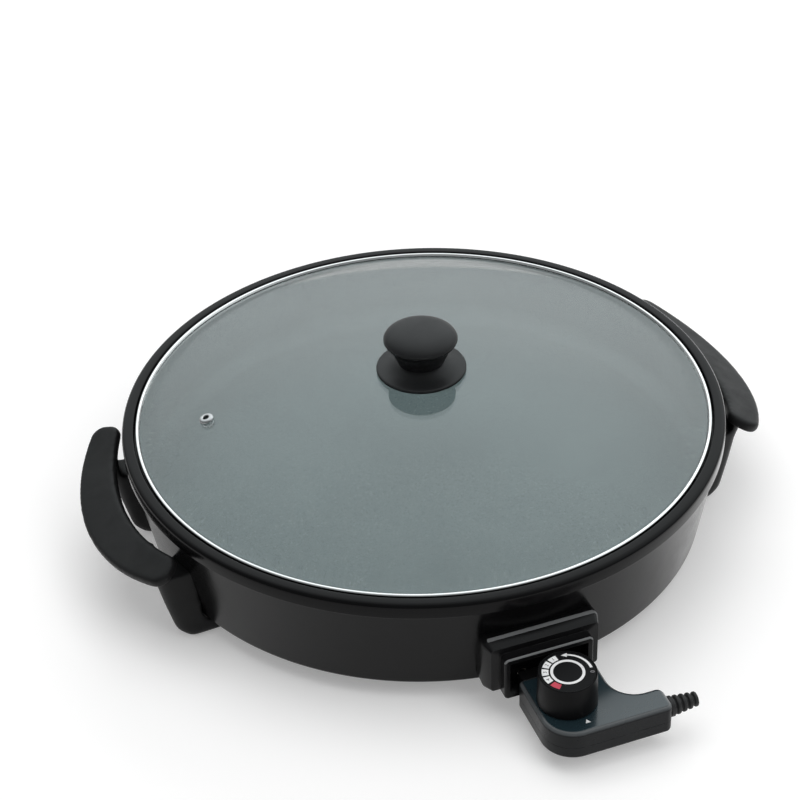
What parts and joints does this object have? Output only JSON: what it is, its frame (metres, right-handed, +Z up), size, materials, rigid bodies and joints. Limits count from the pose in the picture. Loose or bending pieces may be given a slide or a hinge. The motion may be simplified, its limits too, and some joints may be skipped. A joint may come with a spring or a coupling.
{
  "type": "electric frying pan",
  "caption": "Round electric frying pan with a lift-off domed glass lid, wing handles with legs and a plug-in thermostat with a dial.",
  "frame": {"origin": "on the pan's axis, at the middle of the cooking floor's upper face", "axes": "+Z up, square to the cooking floor; X through the two handles; the thermostat plugs in from -Y"},
  "size_m": [0.4668, 0.4665, 0.1518],
  "materials": {
    "pan_coating": "satin dark coating on cast aluminium",
    "element_sheath": "dull heat-stained sheath",
    "ceramic": "unglazed ceramic",
    "bright_steel": "polished stainless steel",
    "zinc_steel": "zinc-plated",
    "black_phenolic": "matt moulded phenolic",
    "lid_glass": "clear toughened glass",
    "knob_black": "smooth matt",
    "silicone": "matt silicone",
    "housing_black": "satin moulded plastic",
    "contact_brass": "bare brass",
    "dial_print": "printed face with plain scale marks",
    "lamp_lens": "clear red lens",
    "relief_rubber": "flexible moulded sleeve"
  },
  "bodies": {
    "pan": {"pan_body": "pan_coating", "heating_element": "element_sheath", "element_insulators": "ceramic", "terminal_pins": "bright_steel", "socket_shroud": "black_phenolic", "shroud_screws": "zinc_steel", "handle_screws": "zinc_steel", "handle_left": "black_phenolic", "handle_right": "black_phenolic"},
    "lid": {"lid_glass": "lid_glass", "lid_band": "bright_steel", "vent_eyelet": "bright_steel", "lid_knob": "knob_black", "knob_base": "knob_black", "knob_gasket": "silicone", "knob_washer": "zinc_steel", "knob_screw": "zinc_steel"},
    "thermostat": {"thermostat_cover": "housing_black", "thermostat_base": "housing_black", "housing_screws": "zinc_steel", "terminal_carrier": "black_phenolic", "contact_sleeves": "contact_brass", "probe_rod": "bright_steel", "switch_frame": "zinc_steel", "spindle_bush": "contact_brass", "contact_blades": "contact_brass", "blade_insulators": "ceramic", "indicator_lamp": "lamp_lens", "strain_relief": "relief_rubber"},
    "dial": {"dial_knob": "housing_black", "dial_face": "dial_print", "dial_spindle": "bright_steel"}
  },
  "joints": [
    {"name": "lid_lift", "type": "slide", "parent": "pan", "child": "lid", "axis": [0, 0, 1], "range_m": [0, 0.15]},
    {"name": "thermostat_pull", "type": "slide", "parent": "pan", "child": "thermostat", "axis": [0, -1, 0], "range_m": [0, 0.09]},
    {"name": "dial_turn", "type": "hinge", "parent": "thermostat", "child": "dial", "pos_m": [0, -0.237, 0.01], "axis": [0, 0, -1], "range_deg": [0, 320]}
  ]
}
